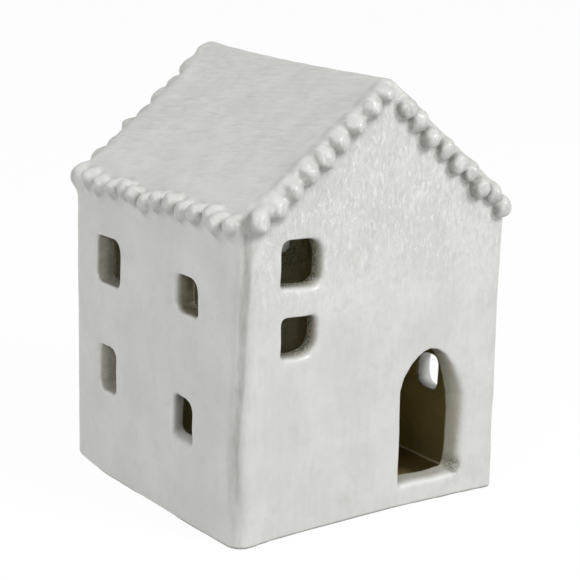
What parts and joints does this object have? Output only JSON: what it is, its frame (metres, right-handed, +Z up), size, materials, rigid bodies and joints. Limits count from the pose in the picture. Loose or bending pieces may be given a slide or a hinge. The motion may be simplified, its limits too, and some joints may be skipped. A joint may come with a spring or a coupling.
{
  "type": "ceramic christmas light house",
  "caption": "Slab-built ceramic light house with a pitched roof, arched door, cut-out windows and rolled clay beads along eaves and verges, glazed white outside and bare inside.",
  "frame": {"origin": "on the table, under the middle of the house", "axes": "+Z up; +X to the right along the front wall; the front wall with the door faces -Y"},
  "size_m": [0.1218, 0.12, 0.1539],
  "materials": {
    "white_glaze": "satin off-white glaze over brown clay, brushed on",
    "bead_glaze": "glossier off-white glaze, thick on rolled beads",
    "bare_clay": "unglazed dark brown fired clay"
  },
  "bodies": {
    "root": {"floor_slab": "bare_clay", "front_gable_wall": "white_glaze", "back_gable_wall": "white_glaze", "left_wall": "white_glaze", "right_wall": "white_glaze", "left_roof_slab": "white_glaze", "right_roof_slab": "white_glaze", "front_apex_bead": "bead_glaze", "front_left_corner_bead": "bead_glaze", "front_right_corner_bead": "bead_glaze", "back_apex_bead": "bead_glaze", "back_left_corner_bead": "bead_glaze", "back_right_corner_bead": "bead_glaze", "front_left_verge_bead_1": "bead_glaze", "front_left_verge_bead_2": "bead_glaze", "front_left_verge_bead_3": "bead_glaze", "front_left_verge_bead_4": "bead_glaze", "front_left_verge_bead_5": "bead_glaze", "front_left_verge_bead_6": "bead_glaze", "front_left_verge_bead_7": "bead_glaze", "front_right_verge_bead_1": "bead_glaze", "front_right_verge_bead_2": "bead_glaze", "front_right_verge_bead_3": "bead_glaze", "front_right_verge_bead_4": "bead_glaze", "front_right_verge_bead_5": "bead_glaze", "front_right_verge_bead_6": "bead_glaze", "front_right_verge_bead_7": "bead_glaze", "front_right_verge_bead_8": "bead_glaze", "left_eave_bead_1": "bead_glaze", "left_eave_bead_2": "bead_glaze", "left_eave_bead_3": "bead_glaze", "left_eave_bead_4": "bead_glaze", "left_eave_bead_5": "bead_glaze", "left_eave_bead_6": "bead_glaze", "left_eave_bead_7": "bead_glaze", "left_eave_bead_8": "bead_glaze", "left_eave_bead_9": "bead_glaze", "left_eave_bead_10": "bead_glaze", "left_eave_bead_11": "bead_glaze", "left_eave_bead_12": "bead_glaze", "left_eave_bead_13": "bead_glaze", "right_eave_beads": "bead_glaze", "back_left_verge_beads": "bead_glaze", "back_right_verge_beads": "bead_glaze"}
  },
  "joints": []
}
